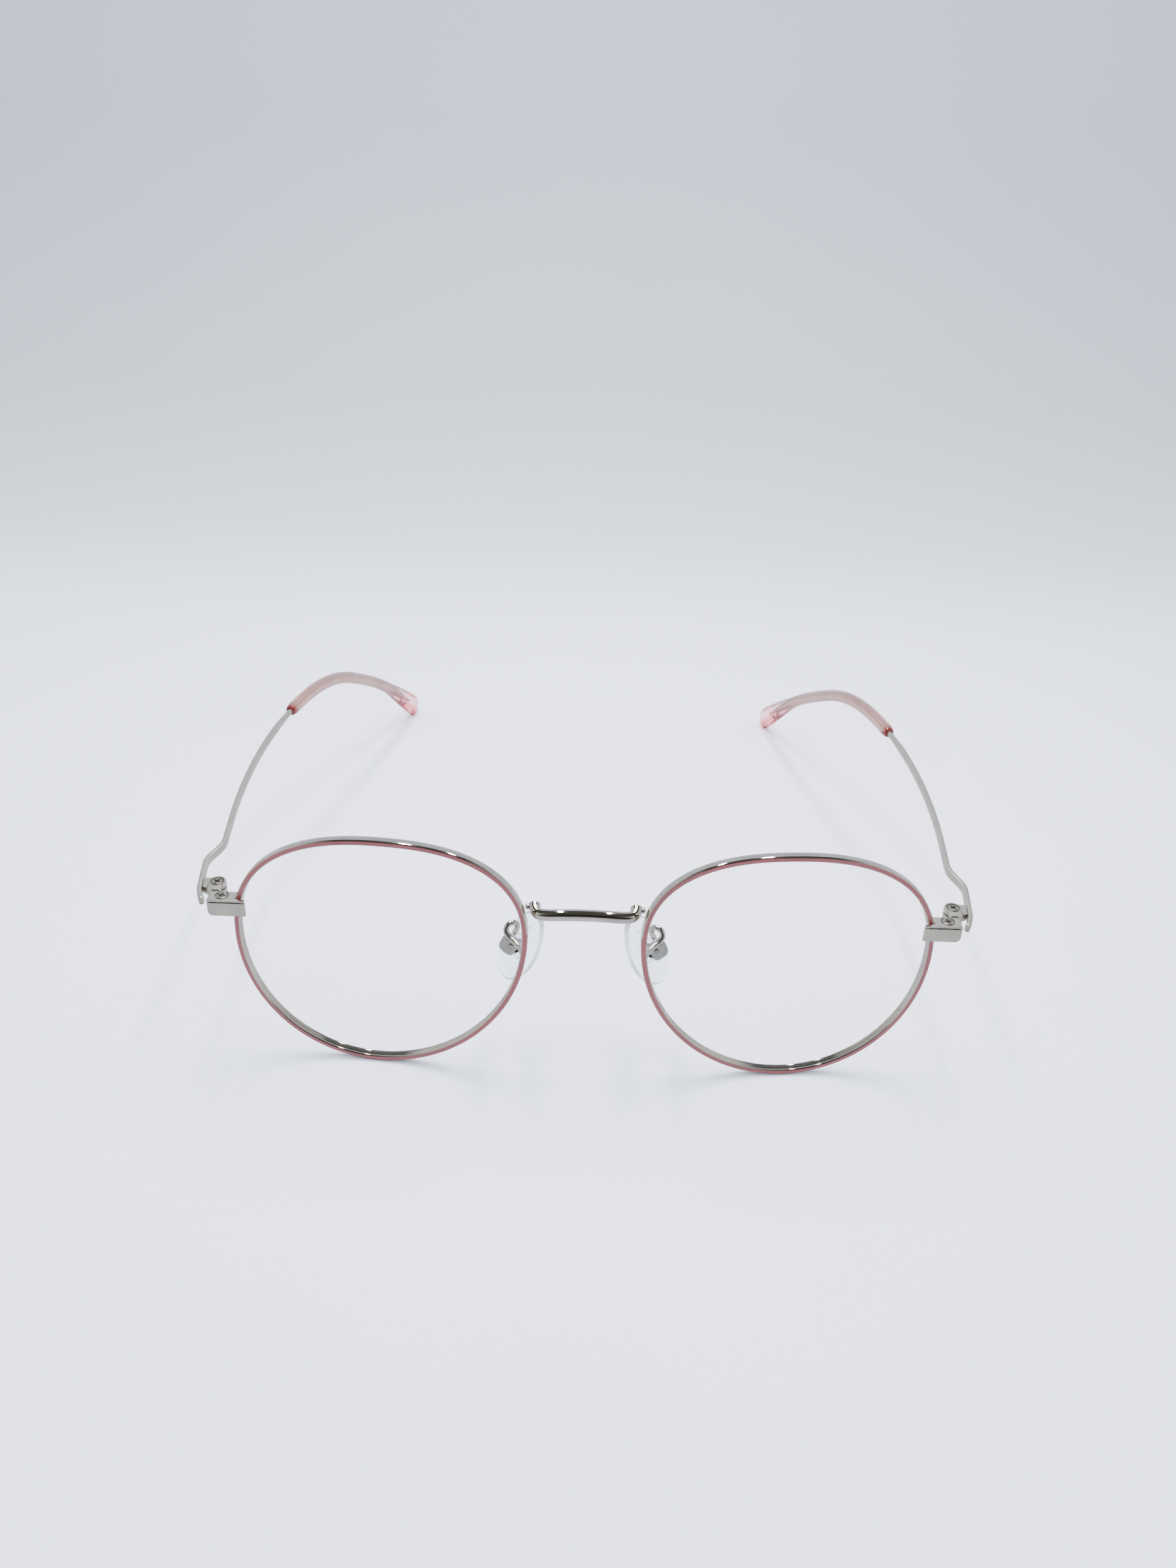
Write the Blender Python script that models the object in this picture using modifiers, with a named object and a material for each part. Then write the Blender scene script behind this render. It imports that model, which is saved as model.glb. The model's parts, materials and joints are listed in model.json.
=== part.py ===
"""Round wire eyeglasses, standing on the lower rims and the two temple tips.

Lengths below are in millimetres and are turned into metres where meshes are made.
The front faces -Y, the temples run back along +Y and +Z is up. The object is
symmetric about X = 0: each side piece is made at +X and mirrored to -X. Y is measured
from the middle of the rims while a piece is made, and from the origin once it is placed.
"""

import math

import bmesh
import bpy
from mathutils import Matrix, Vector

MM = 0.001
ORIGIN_Y = 71.975               # the origin lies this far behind the rims' plane, under the middle
GAP = 0.25                      # clearance between neighbouring pieces

# Rims: each is a flat ring, turned a little about Z to wrap round the face.
RIM_CENTRE_X = 35.6
RIM_CENTRE_Z = 28.6662           # puts the flat step under each rim on the ground
RIM_HALF_WIDTH = 25.4
RIM_RISE = 19.1                 # from the widest line to the top of the centreline
RIM_DROP = 28.2                 # and to its bottom
RIM_SQUARENESS_TOP = 2.43
RIM_SQUARENESS_LOW = 2.0
RIM_LEAN = -0.068               # sideways shift of the outline per unit of height
RIM_WRAP = 0.084                # radians about Z
RIM_WALL = 1.0                  # wire section, across
RIM_DEPTH = 1.7                 # wire section, front to back
GROOVE_DEPTH = 0.4
GROOVE_HALF_WIDTH = 0.5
RIM_STEPS = 72
RIM_SPLIT_HALF_ANGLE = 0.6      # degrees, half the slit that the rim lock closes

LENS_THICKNESS = 1.2
LENS_BULGE = 2.0
LENS_RINGS = (0.68, 0.34)

# Bridge: one bent bar with a small solder seat at each end.
BRIDGE_RADIUS = 1.05
BRIDGE_HALF_ROUTE = ((0.0, -2.1, 35.75), (3.6, -2.1, 35.65), (6.6, -1.8, 35.3), (8.1, -1.2, 35.15),
                     (8.7, -0.2, 35.4), (8.75, 0.7, 35.8))

# End pieces: two closing blocks round the split in the rim, and the hinge behind them.
BLOCK_X = (58.95, 65.4)
BLOCK_Y = (0.3, 3.15)
BLOCK_Z = (31.1, 34.3)
BLOCK_SPLIT = 33.2              # the closing blocks meet at this height, behind the face wall
BLOCK_SLIT = 0.25
FACE_WALL_Y = 1.05              # back of the lower block's face wall, which hides the joint
FACE_TOP = 33.75
BLOCK_CORNER = 0.9
LOCK_AXIS = (63.2, 2.0)
HINGE_AXIS = (65.1, 6.0)
BARREL_RADIUS = 1.55
LEAF_Z = ((31.15, 32.1), (32.35, 33.25), (33.5, 34.45))
NECK_WIDTH = 2.1
WEB_Y = (3.4, 4.0)
LEAF_FOOT = ((66.9, 5.2), (67.68, 5.5), (68.17, 8.3), (66.9, 8.4))
SCREW_HEAD_RADIUS = 1.0
SCREW_HEAD_HEIGHT = 0.4
SCREW_SHANK_RADIUS = 0.55
SCREW_HOLE_RADIUS = 0.8
SEAT_RADIUS = 1.25
SEAT_DEPTH = 0.45
RECESS_LENGTH = 1.25
RECESS_WIDTH = 0.26
RECESS_DEPTH = 0.22

# Temples: a flat strip with a joggle behind the hinge, then a wire inside the tip.
STRIP_THICKNESS = 0.9
STRIP_HEIGHT = 1.6
# each corner of the route: x, y, z and the length trimmed off it to round it
TEMPLE_ROUTE = ((66.9, 2.2, 32.7, 0.0), (68.1, 4.6, 32.75, 1.6), (69.65, 14.4, 33.0, 1.8),
                (67.8, 19.4, 33.15, 1.8), (69.9, 38.0, 33.9, 10.0), (69.7, 57.0, 34.7, 8.0),
                (67.9, 71.0, 35.3, 6.0), (62.8, 92.0, 36.1, 15.0), (55.9, 121.0, 20.3, 10.0),
                (51.3, 144.6, 2.45, 0.0))
CORE_START_Y = 66.0
CORE_RADIUS = 0.62
CORE_END_BACK_OFF = 9.0

# Tips: a sleeve with an open mouth, which flares into a flat paddle.
SLEEVE_START_Y = 71.0
SLEEVE_RADIUS = 1.45
SLEEVE_BORE = 0.95
SLEEVE_BACK_OFF = 6.5
PADDLE_HEIGHT = 6.2
PADDLE_THICKNESS = 2.4
PADDLE_LENGTH = 30.0
SLEEVE_SIDES = 12

# Nose pads: an oval pad on a lug, held in a box at the end of a bent wire.
PAD_UP = (-2.6, 1.2, 5.6)       # along the pad, towards its top
PAD_ACROSS = (2.8, 2.35, 0.8)   # across the pad, towards its outer, rear edge
PAD_FROM_BOX = (0.0, -0.9, -4.1)  # the pad's centre, in the frame of its box
PAD_HALF_LENGTH = 6.9
PAD_HALF_WIDTH = 4.2
PAD_THICKNESS = 2.4
PAD_BOX_CENTRE = (13.15, 5.0, 23.7)
PAD_BOX_SIZE = (3.5, 3.5, 3.5)
PAD_BOX_ROUNDING = 0.95
PAD_SLOT_WIDTH = 1.5
PAD_SCREW_RADIUS = 0.5
PAD_SCREW_HOLE = 0.78
LUG_THICKNESS = 0.9
LUG_RADIUS = 1.3
ARM_RADIUS = 0.5
ARM_ROUTE = ((10.45, -0.95, 26.4), (11.5, 1.0, 26.3), (13.0, 2.4, 26.9), (13.9, 3.2, 27.8),
             (13.6, 3.8, 28.8), (12.6, 4.3, 29.0), (11.95, 4.8, 28.2), (12.15, 5.0, 27.0), (12.6, 5.1, 26.0))

SIDES = (("right", 1), ("left", -1))


def clear_scene():
    for existing in list(bpy.data.objects):
        bpy.data.objects.remove(existing, do_unlink=True)


def new_collection(name, hidden):
    collection = bpy.data.collections.new(name)
    bpy.context.scene.collection.children.link(collection)
    collection.hide_render = hidden
    return collection


clear_scene()
PARTS = new_collection("round_wire_eyeglasses", hidden=False)
CUTTERS = new_collection("cutters", hidden=True)


def material(name, colour, roughness, metallic):
    made = bpy.data.materials.new(name)
    made.use_nodes = True
    shader = made.node_tree.nodes["Principled BSDF"]
    shader.inputs["Base Color"].default_value = (*colour, 1.0)
    shader.inputs["Roughness"].default_value = roughness
    shader.inputs["Metallic"].default_value = metallic
    return made


LOOKS = {
    "rim": ((0.62, 0.24, 0.27), 0.30, 0.6),
    "lens": ((0.96, 0.98, 1.00), 0.02, 0.0),
    "bridge": ((0.74, 0.73, 0.70), 0.14, 1.0),
    "endpiece_upper": ((0.66, 0.65, 0.61), 0.24, 1.0),
    "endpiece_lower": ((0.66, 0.65, 0.61), 0.24, 1.0),
    "rimlock_screw": ((0.78, 0.76, 0.68), 0.20, 1.0),
    "hinge_front_leaf": ((0.64, 0.63, 0.59), 0.24, 1.0),
    "hinge_temple_leaf": ((0.60, 0.59, 0.55), 0.28, 1.0),
    "hinge_screw": ((0.78, 0.76, 0.68), 0.20, 1.0),
    "temple": ((0.64, 0.65, 0.61), 0.24, 1.0),
    "temple_tip": ((0.90, 0.58, 0.60), 0.22, 0.0),
    "pad_arm": ((0.72, 0.71, 0.67), 0.16, 1.0),
    "pad_box": ((0.70, 0.69, 0.65), 0.16, 1.0),
    "pad_screw": ((0.40, 0.39, 0.37), 0.30, 1.0),
    "pad_insert": ((0.80, 0.82, 0.82), 0.25, 0.0),
    "nose_pad": ((0.92, 0.94, 0.94), 0.18, 0.0),
}
MATERIALS = {piece: material(piece + "_finish", *look) for piece, look in LOOKS.items()}


def link(name, data, collection=PARTS):
    made = bpy.data.objects.new(name, data)
    collection.objects.link(made)
    return made


def mesh_object(name, shape, collection=PARTS):
    """An object from a bmesh whose lengths are in millimetres."""
    bmesh.ops.recalc_face_normals(shape, faces=shape.faces)
    bmesh.ops.scale(shape, vec=(MM, MM, MM), verts=shape.verts)
    mesh = bpy.data.meshes.new(name)
    shape.to_mesh(mesh)
    shape.free()
    return link(name, mesh, collection)


def box(name, low, high, collection=PARTS):
    shape = bmesh.new()
    bmesh.ops.create_cube(shape, size=1.0)
    low, high = Vector(low), Vector(high)
    bmesh.ops.scale(shape, vec=high - low, verts=shape.verts)
    bmesh.ops.translate(shape, vec=(low + high) / 2, verts=shape.verts)
    return mesh_object(name, shape, collection)


def aligned_box(name, frame, size, collection=PARTS):
    """A box centred in a local frame, a 4x4 matrix in millimetres."""
    shape = bmesh.new()
    bmesh.ops.create_cube(shape, size=1.0)
    bmesh.ops.scale(shape, vec=size, verts=shape.verts)
    bmesh.ops.transform(shape, matrix=frame, verts=shape.verts)
    return mesh_object(name, shape, collection)


def rod(name, frame, radius, length, sides, collection=PARTS):
    """A cylinder along a local frame's Z, centred on it."""
    shape = bmesh.new()
    bmesh.ops.create_cone(shape, cap_ends=True, segments=sides, radius1=radius, radius2=radius, depth=length)
    bmesh.ops.transform(shape, matrix=frame, verts=shape.verts)
    return mesh_object(name, shape, collection)


def upright(name, axis, z_low, z_high, radius, sides=24, collection=PARTS):
    centre = (axis[0], axis[1], (z_low + z_high) / 2)
    return rod(name, Matrix.Translation(centre), radius, z_high - z_low, sides, collection)


def baked(piece):
    """The piece as a plain mesh, its modifiers applied and its place in the mesh."""
    graph = bpy.context.evaluated_depsgraph_get()
    graph.update()
    mesh = bpy.data.meshes.new_from_object(piece.evaluated_get(graph))
    mesh.transform(piece.matrix_world)
    name = piece.name
    collection = piece.users_collection[0]
    bpy.data.objects.remove(piece, do_unlink=True)
    shape = bmesh.new()
    shape.from_mesh(mesh)
    bmesh.ops.remove_doubles(shape, verts=shape.verts, dist=1e-7)
    shape.to_mesh(mesh)
    shape.free()
    mesh.name = name
    return link(name, mesh, collection)


def combined(piece, others, operation):
    """The piece after a Boolean with each of the others, which move to the cutters."""
    for other in others:
        for holder in list(other.users_collection):
            holder.objects.unlink(other)
        CUTTERS.objects.link(other)
        other.hide_render = True
        other.display_type = "WIRE"
        step = piece.modifiers.new(operation.lower(), "BOOLEAN")
        step.operation = operation
        step.object = other
        step.solver = "EXACT"
    return piece


def rounded(piece, width, segments, angle=40.0):
    edge = piece.modifiers.new("rounded edges", "BEVEL")
    edge.width = width * MM
    edge.segments = segments
    edge.limit_method = "ANGLE"
    edge.angle_limit = math.radians(angle)
    return piece


def lofted(name, rings, collection=PARTS):
    """A closed skin over rings of equally many points, with a face over each end."""
    shape = bmesh.new()
    layers = [[shape.verts.new(point) for point in ring] for ring in rings]
    count = len(layers[0])
    for near, far in zip(layers, layers[1:]):
        for i in range(count):
            j = (i + 1) % count
            shape.faces.new((near[i], near[j], far[j], far[i]))
    shape.faces.new(layers[0])
    shape.faces.new(layers[-1])
    return mesh_object(name, shape, collection)


def wire(name, points, radius, resolution):
    """A round wire: a curve with a bevel and filled caps."""
    curve = bpy.data.curves.new(name, "CURVE")
    curve.dimensions = "3D"
    curve.bevel_depth = radius * MM
    curve.bevel_resolution = resolution
    curve.use_fill_caps = True
    spline = curve.splines.new("POLY")
    spline.points.add(len(points) - 1)
    for knot, point in zip(spline.points, points):
        knot.co = (*(Vector(point) * MM), 1.0)
    return link(name, curve)


def smooth_route(corners, steps):
    """Points on a smooth curve through the corners (a Catmull-Rom spline)."""
    points = [Vector(corner) for corner in corners]
    padded = [2 * points[0] - points[1], *points, 2 * points[-1] - points[-2]]
    route = []
    for a, b, c, d in zip(padded, padded[1:], padded[2:], padded[3:]):
        for step in range(steps):
            t = step / steps
            route.append(0.5 * (2 * b + (c - a) * t + (2 * a - 5 * b + 4 * c - d) * t * t
                                + (3 * b - a - 3 * c + d) * t ** 3))
    return [*route, points[-1]]


def trimmed_route(corners, steps=5):
    """Straight runs between corners, each corner rounded over its own trim length."""
    points = [Vector(corner[:3]) for corner in corners]
    route = [points[0]]
    for before, corner, after, trim in zip(points, points[1:], points[2:], [c[3] for c in corners[1:]]):
        start = corner + (before - corner).normalized() * trim
        end = corner + (after - corner).normalized() * trim
        for step in range(steps + 1):
            t = step / steps
            route.append(start.lerp(corner, t).lerp(corner.lerp(end, t), t))
    return [*route, points[-1]]


def outline_point(angle):
    """A point of the rim's centreline, in its own plane: across towards the temple, and up."""
    across, up = math.cos(angle), math.sin(angle)
    high = up > 0
    power = RIM_SQUARENESS_TOP if high else RIM_SQUARENESS_LOW
    reach = RIM_RISE if high else RIM_DROP
    distance = (abs(across / RIM_HALF_WIDTH) ** power + abs(up / reach) ** power) ** (-1 / power)
    height = distance * up
    return Vector((distance * across + RIM_LEAN * height, height))


def outline_normal(angle):
    step = 1e-4
    along = outline_point(angle + step) - outline_point(angle - step)
    return Vector((along.y, -along.x)).normalized()


def rim_angles(split):
    """Angles round the rim, with one flat step centred on its lowest point."""
    step = 360.0 / RIM_STEPS
    angles = [270.0 + (k + 0.5) * step for k in range(RIM_STEPS)]
    if not split:
        return [math.radians(angle) for angle in angles]
    middle = math.degrees(math.atan2(split, RIM_HALF_WIDTH)) + 360.0
    near, far = middle - RIM_SPLIT_HALF_ANGLE, middle + RIM_SPLIT_HALF_ANGLE
    after = [angle for angle in angles if angle > far + step / 4]
    before = [angle + 360.0 for angle in angles if angle < near - step / 4]
    return [math.radians(angle) for angle in (far, *after, *before, near + 360.0)]


def rim_to_world(point):
    """From the rim's own plane (across, up, forward) to the +X rim's place."""
    turn = Matrix.Rotation(RIM_WRAP, 4, "Z") @ Matrix.Rotation(math.radians(90), 4, "X")
    return Matrix.Translation((RIM_CENTRE_X, 0, RIM_CENTRE_Z)) @ turn @ Vector(point)


def make_rim():
    """The grooved wire, split where the end piece clamps it."""
    side, front = RIM_WALL / 2, RIM_DEPTH / 2
    corner = 0.16
    section = ((side, front - corner), (side - corner, front), (corner - side, front),
               (-side, front - corner), (-side, GROOVE_HALF_WIDTH), (GROOVE_DEPTH - side, 0.0),
               (-side, -GROOVE_HALF_WIDTH), (-side, corner - front), (corner - side, -front),
               (side - corner, -front), (side, corner - front))
    rings = []
    for angle in rim_angles(BLOCK_SPLIT - RIM_CENTRE_Z):
        centre, normal = outline_point(angle), outline_normal(angle)
        rings.append([rim_to_world((*(centre + normal * out), forward)) for out, forward in section])
    return lofted("rim", rings)


def make_lens():
    """A thin curved disc with a bevelled edge that sits in the rim's groove."""
    edge = -RIM_WALL / 2 - GAP
    ridge = GROOVE_DEPTH - RIM_WALL / 2 - GAP - 0.08
    half = LENS_THICKNESS / 2

    def ring(grow, scale, forward):
        points = []
        for angle in rim_angles(None):
            flat = (outline_point(angle) + outline_normal(angle) * grow) * scale
            bulge = LENS_BULGE * (1 - scale * scale)
            points.append(rim_to_world((flat.x, flat.y, forward + bulge)))
        return points

    rings = [ring(edge, scale, half) for scale in reversed(LENS_RINGS)]
    rings += [ring(edge, 1.0, half), ring(ridge, 1.0, 0.0), ring(edge, 1.0, -half)]
    rings += [ring(edge, scale, -half) for scale in LENS_RINGS]
    return lofted("lens", rings)


def make_bridge():
    half = smooth_route(BRIDGE_HALF_ROUTE, 3)
    mirrored = [Vector((-point.x, point.y, point.z)) for point in reversed(half[1:])]
    return baked(wire("bridge", mirrored + half, BRIDGE_RADIUS, 3))


def block_shapes(which):
    """The two boxes that make a closing block: lowest and highest corners of each."""
    (x_in, x_out), (y_front, y_back), (z_low, z_top) = BLOCK_X, BLOCK_Y, BLOCK_Z
    half = BLOCK_SLIT / 2
    if which == "lower":
        body = (x_in, y_front, z_low), (x_out, y_back, BLOCK_SPLIT - half)
        wall = (x_in, y_front, z_low + 0.5), (x_out, FACE_WALL_Y, FACE_TOP)
        return body, wall
    body = (x_in, FACE_WALL_Y + BLOCK_SLIT, BLOCK_SPLIT + half), (x_out, y_back, z_top)
    lip = (x_in, y_front, FACE_TOP + BLOCK_SLIT), (x_out, y_back - 0.5, z_top)
    return body, lip


def make_endpiece(which):
    """A closing block. The lower one has the face wall, the upper one a thin lip over it."""
    name = "endpiece_" + which
    body, more = block_shapes(which)
    z_low, z_high = body[0][2], body[1][2]
    block = combined(box(name, *body), [box(name + "_more", *more)], "UNION")
    if which == "lower":
        corner_x, corner_z = BLOCK_X[1] - BLOCK_CORNER, z_low + BLOCK_CORNER
        corner = box(name + "_corner", (corner_x, -5, z_low - 1), (BLOCK_X[1] + 1, 9, corner_z), CUTTERS)
        across = Matrix.Translation((corner_x, 0, corner_z)) @ Matrix.Rotation(math.radians(90), 4, "X")
        combined(corner, [rod(name + "_round", across, BLOCK_CORNER, 16, 24)], "DIFFERENCE")
        combined(block, [baked(corner)], "DIFFERENCE")
    rim_room = []
    for height in (BLOCK_Z[0] - 0.5, BLOCK_Z[1] + 0.5):
        angle = math.atan2(height - RIM_CENTRE_Z, RIM_HALF_WIDTH)
        centre, normal = outline_point(angle), outline_normal(angle)
        outer, inner = centre + normal * (RIM_WALL / 2 + GAP), centre - normal * 9.0
        front, back = RIM_DEPTH / 2 + GAP, -5.0
        rim_room.append([rim_to_world((*outer, front)), rim_to_world((*inner, front)),
                         rim_to_world((*inner, back)), rim_to_world((*outer, back))])
    channel = lofted(name + "_channel", rim_room, CUTTERS)
    hole_low = z_low - 1 if which == "upper" else z_low + 0.3
    hole = upright(name + "_hole", LOCK_AXIS, hole_low, z_high + 1, SCREW_HOLE_RADIUS, 20)
    combined(block, [channel, hole], "DIFFERENCE")
    if which == "upper":
        seat = upright(name + "_seat", LOCK_AXIS, z_high - SEAT_DEPTH, z_high + 1, SEAT_RADIUS, 20)
        combined(block, [seat], "DIFFERENCE")
    return baked(block)


def make_screw(name, axis, z_top, z_low, turn):
    """A pan-headed screw with a cross recess, standing on its shank."""
    head = upright(name, axis, z_top - SCREW_HEAD_HEIGHT, z_top, SCREW_HEAD_RADIUS, 20)
    rounded(head, 0.12, 1)
    shank = upright(name + "_shank", axis, z_low, z_top - SCREW_HEAD_HEIGHT / 2, SCREW_SHANK_RADIUS, 12)
    combined(head, [shank], "UNION")
    slots = []
    for quarter in (0, 90):
        frame = Matrix.Translation((*axis, z_top)) @ Matrix.Rotation(math.radians(turn + quarter), 4, "Z")
        size = (RECESS_LENGTH, RECESS_WIDTH, 2 * RECESS_DEPTH)
        slots.append(aligned_box(f"{name}_slot_{quarter}", frame, size))
    combined(head, slots, "DIFFERENCE")
    return baked(head)


def make_front_leaf():
    """Two knuckles on narrow necks, joined by a web behind the block."""
    x, y = HINGE_AXIS
    half = NECK_WIDTH / 2
    web = box("hinge_front_leaf", (x - half, WEB_Y[0], LEAF_Z[0][0]), (x + half, WEB_Y[1], LEAF_Z[2][1]))
    solids = []
    for place, (z_low, z_high) in (("low", LEAF_Z[0]), ("high", LEAF_Z[2])):
        solids.append(box("neck_" + place, (x - half, WEB_Y[0] + 0.1, z_low), (x + half, y, z_high)))
        solids.append(upright("knuckle_" + place, HINGE_AXIS, z_low, z_high, BARREL_RADIUS, 32))
    combined(web, solids, "UNION")
    bottom, top = LEAF_Z[0][0], LEAF_Z[2][1]
    hole = upright("front_leaf_hole", HINGE_AXIS, bottom - 1, top + 1, SCREW_HOLE_RADIUS, 20)
    seat = upright("front_leaf_seat", HINGE_AXIS, top - SEAT_DEPTH, top + 1, SEAT_RADIUS, 20)
    combined(web, [hole, seat], "DIFFERENCE")
    return baked(web)


def make_temple_leaf():
    """The middle knuckle, its arm and the plate that is brazed to the temple."""
    x, y = HINGE_AXIS
    z_low, z_high = LEAF_Z[1]
    knuckle = upright("hinge_temple_leaf", HINGE_AXIS, z_low, z_high, BARREL_RADIUS, 32)
    arm = box("leaf_arm", (x, y - 0.7, z_low), (LEAF_FOOT[0][0] + 0.3, y + 1.5, z_high))
    foot = lofted("leaf_foot", [[Vector((*corner, height)) for corner in LEAF_FOOT]
                                for height in (z_low - 0.25, z_high + 0.25)])
    combined(knuckle, [arm, foot], "UNION")
    hole = upright("temple_leaf_hole", HINGE_AXIS, z_low - 1, z_high + 1, SCREW_HOLE_RADIUS, 20)
    combined(knuckle, [hole], "DIFFERENCE")
    return baked(knuckle)


def route_frames(route):
    """At each point of a route: the point, a level side direction and the direction above it."""
    frames = []
    for i, point in enumerate(route):
        along = (route[min(i + 1, len(route) - 1)] - route[max(i - 1, 0)]).normalized()
        side = along.cross(Vector((0, 0, 1))).normalized()
        frames.append((point, side, side.cross(along), along))
    return frames


def section_ring(frame, half_side, half_up, sides, roundness):
    """A rounded section across a route: roundness 1 is an ellipse, less is nearer a rectangle."""
    point, side, up, _ = frame
    ring = []
    for k in range(sides):
        angle = 2 * math.pi * (k + 0.5) / sides
        c, s = math.cos(angle), math.sin(angle)
        ring.append(point + side * half_side * math.copysign(abs(c) ** roundness, c)
                    + up * half_up * math.copysign(abs(s) ** roundness, s))
    return ring


def lengths_along(route):
    total = [0.0]
    for a, b in zip(route, route[1:]):
        total.append(total[-1] + (b - a).length)
    return total


def temple_route():
    """The whole temple's centreline, its long runs cut into steps of a few millimetres."""
    corners = trimmed_route(TEMPLE_ROUTE)
    route = [corners[0]]
    for a, b in zip(corners, corners[1:]):
        pieces = max(1, round((b - a).length / 6.0))
        route += [a.lerp(b, k / pieces) for k in range(1, pieces + 1)]
    return route


def make_temple():
    route = temple_route()
    along = lengths_along(route)
    rings = []
    for frame, distance in zip(route_frames(route), along):
        if along[-1] - distance < CORE_END_BACK_OFF:
            break
        blend = min(max((frame[0].y - CORE_START_Y) / 3.0, 0.0), 1.0)
        half_side = STRIP_THICKNESS / 2 * (1 - blend) + CORE_RADIUS * blend
        half_up = STRIP_HEIGHT / 2 * (1 - blend) + CORE_RADIUS * blend
        rings.append(section_ring(frame, half_side, half_up, 8, 0.35 + 0.65 * blend))
    return lofted("temple", rings)


def make_tip():
    """The sleeve: outer skin to the rounded end, turned in at the mouth, and back as a blind bore."""
    route = temple_route()
    along = lengths_along(route)
    frames = route_frames(route)
    first = next(i for i, point in enumerate(route) if point.y > SLEEVE_START_Y)
    length = along[-1]
    outer, bore = [], []
    for i in range(first, len(route)):
        left = length - along[i]
        flare = max(0.0, 1 - left / PADDLE_LENGTH)
        flare = flare * flare * (3 - 2 * flare)
        mouth = 0.86 if i == first else 1.0
        half_side = mouth * (SLEEVE_RADIUS + (PADDLE_THICKNESS / 2 - SLEEVE_RADIUS) * flare)
        half_up = mouth * (SLEEVE_RADIUS + (PADDLE_HEIGHT / 2 - SLEEVE_RADIUS) * flare)
        outer.append(section_ring(frames[i], half_side, half_up, SLEEVE_SIDES, 1.0))
        if left > SLEEVE_BACK_OFF:
            bore.append(section_ring(frames[i], SLEEVE_BORE, SLEEVE_BORE, SLEEVE_SIDES, 1.0))
    point, side, up, ahead = frames[-1]
    for reach, shrink in ((1.2, 0.86), (1.9, 0.55)):
        end = (point + ahead * reach, side, up, ahead)
        half_side, half_up = shrink * PADDLE_THICKNESS / 2, shrink * PADDLE_HEIGHT / 2
        outer.append(section_ring(end, half_side, half_up, SLEEVE_SIDES, 1.0))
    tip = lofted("temple_tip", list(reversed(bore)) + outer)
    floor = box("tip_floor", (30, 100, -20), (90, 190, 0))
    combined(tip, [floor], "DIFFERENCE")
    return baked(tip)


def box_frame():
    """Centred on the pad's box: X across the pad, Y along it, Z from the nose side to the box."""
    across, up = Vector(PAD_ACROSS).normalized(), Vector(PAD_UP).normalized()
    up = (up - across * up.dot(across)).normalized()
    outward = across.cross(up)
    rows = [[across[i], up[i], outward[i], PAD_BOX_CENTRE[i]] for i in range(3)]
    return Matrix((*rows, (0, 0, 0, 1)))


def pad_frame():
    return box_frame() @ Matrix.Translation(PAD_FROM_BOX)


def make_pad():
    """An egg-shaped pad, domed towards the nose, with a pocket in its back for the lug."""
    levels = ((0.45, -0.5), (0.82, -0.36), (1.0, -0.02), (0.97, 0.28), (0.84, 0.44))
    frame = pad_frame()
    rings = []
    for scale, depth in levels:
        ring = []
        for k in range(24):
            angle = 2 * math.pi * k / 24
            wide = PAD_HALF_WIDTH * (1 - 0.13 * math.sin(angle)) * math.cos(angle)
            high = PAD_HALF_LENGTH * math.sin(angle)
            ring.append(frame @ Vector((scale * wide, scale * high, depth * PAD_THICKNESS)))
        rings.append(ring)
    pad = lofted("nose_pad", rings)
    pocket_frame = frame @ Matrix.Translation((0, 0, PAD_THICKNESS * 0.44))
    pocket = aligned_box("pad_pocket", pocket_frame, (3.0, 4.8, 1.5))
    combined(pad, [pocket], "DIFFERENCE")
    return baked(pad)


def make_pad_insert():
    """A foot in the pad's pocket and a lug that turns on the pad screw."""
    pad, centre = pad_frame(), box_frame()
    foot_frame = pad @ Matrix.Translation((0, 0, PAD_THICKNESS * 0.44 - 0.2))
    foot = aligned_box("pad_insert", foot_frame, (2.4, 4.2, 0.6))
    turn = centre @ Matrix.Rotation(math.radians(90), 4, "Y")
    lug = rod("lug_round", turn, LUG_RADIUS, LUG_THICKNESS, 24)
    start = pad @ Vector((0, 0, PAD_THICKNESS * 0.44))
    reach = centre.inverted() @ start
    middle = Vector((0, reach.y / 2, reach.z / 2))
    tilt = math.atan2(reach.y, -reach.z)
    neck_frame = centre @ Matrix.Translation(middle) @ Matrix.Rotation(tilt, 4, "X")
    neck = aligned_box("lug_neck", neck_frame, (LUG_THICKNESS, 1.7, math.hypot(reach.y, reach.z) + 0.2))
    combined(foot, [lug, neck], "UNION")
    hole = rod("lug_hole", turn, PAD_SCREW_HOLE, 4, 16)
    combined(foot, [hole], "DIFFERENCE")
    return baked(foot)


def make_pad_box():
    """A rounded box, slotted for the lug and drilled for the screw."""
    frame = box_frame()
    shell = rounded(aligned_box("pad_box", frame, PAD_BOX_SIZE), PAD_BOX_ROUNDING, 3)
    slot_frame = frame @ Matrix.Translation((0, -0.8, -1.0))
    slot = aligned_box("pad_slot", slot_frame, (PAD_SLOT_WIDTH, 5.2, 5.4))
    turn = frame @ Matrix.Rotation(math.radians(90), 4, "Y")
    hole = rod("pad_box_hole", turn, PAD_SCREW_HOLE, 8, 16)
    combined(shell, [slot, hole], "DIFFERENCE")
    return baked(shell)


def make_pad_screw():
    turn = box_frame() @ Matrix.Rotation(math.radians(90), 4, "Y")
    return baked(rod("pad_screw", turn, PAD_SCREW_RADIUS, PAD_BOX_SIZE[0] - 0.5, 12))


def make_pad_arm():
    return baked(wire("pad_arm", smooth_route(ARM_ROUTE, 3), ARM_RADIUS, 1))


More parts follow.
